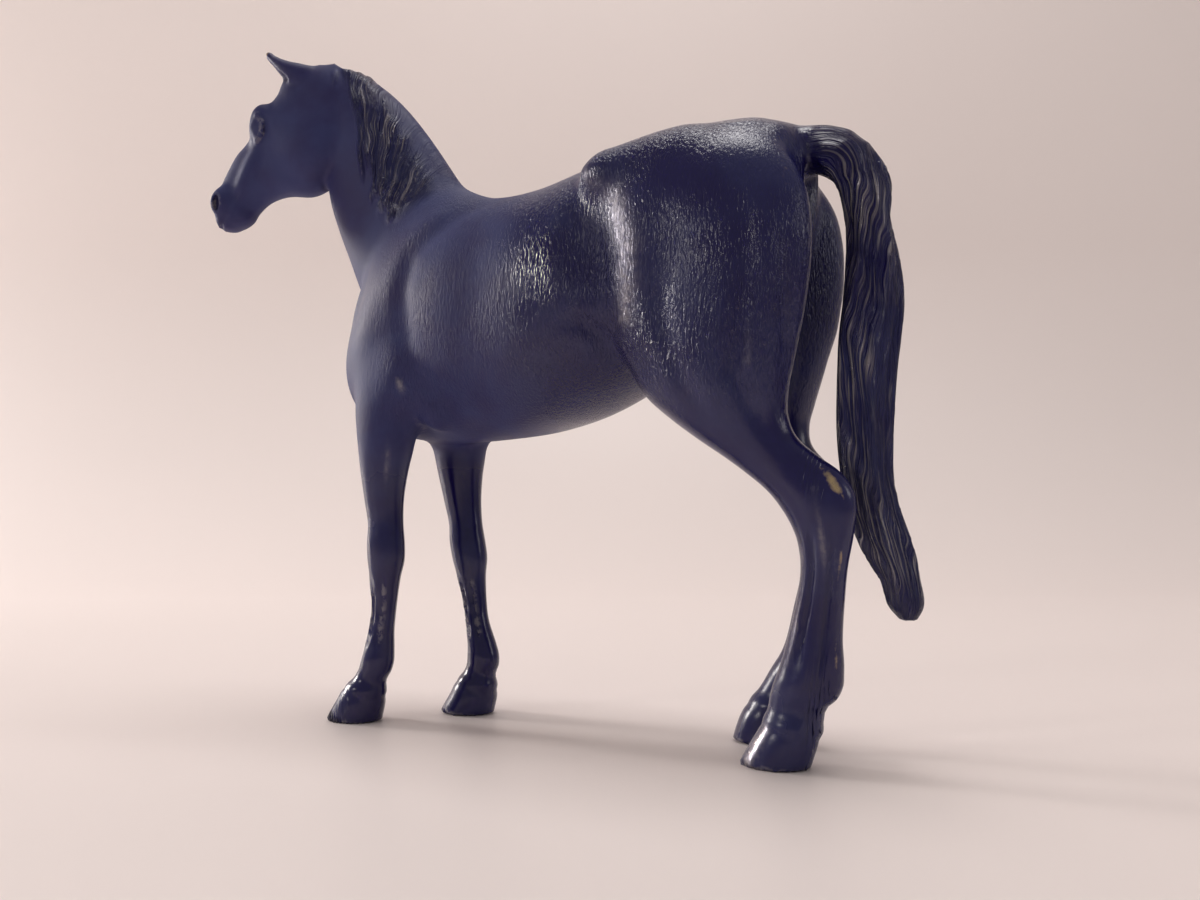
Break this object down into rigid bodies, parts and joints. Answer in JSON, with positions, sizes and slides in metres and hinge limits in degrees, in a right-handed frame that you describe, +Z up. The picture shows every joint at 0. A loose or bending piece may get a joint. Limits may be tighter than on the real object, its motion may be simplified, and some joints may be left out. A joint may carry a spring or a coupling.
{
  "type": "horse sculpture",
  "caption": "Standing horse in dark patinated bronze, its head turned a little to the left, mane combed down the left side of the neck, long tail hanging past the hocks, resting on its hooves.",
  "frame": {"origin": "bottom centre of the bounding box, on the ground under the hooves", "axes": "+Z up, the head toward -X, the horse's left side toward -Y"},
  "size_m": [0.3024, 0.0746, 0.2854],
  "materials": {
    "bronze": "dark blue-black patina, waxed to a soft shine, worn to the metal on the high points"
  },
  "bodies": {
    "root": {"horse": "bronze"}
  },
  "joints": []
}
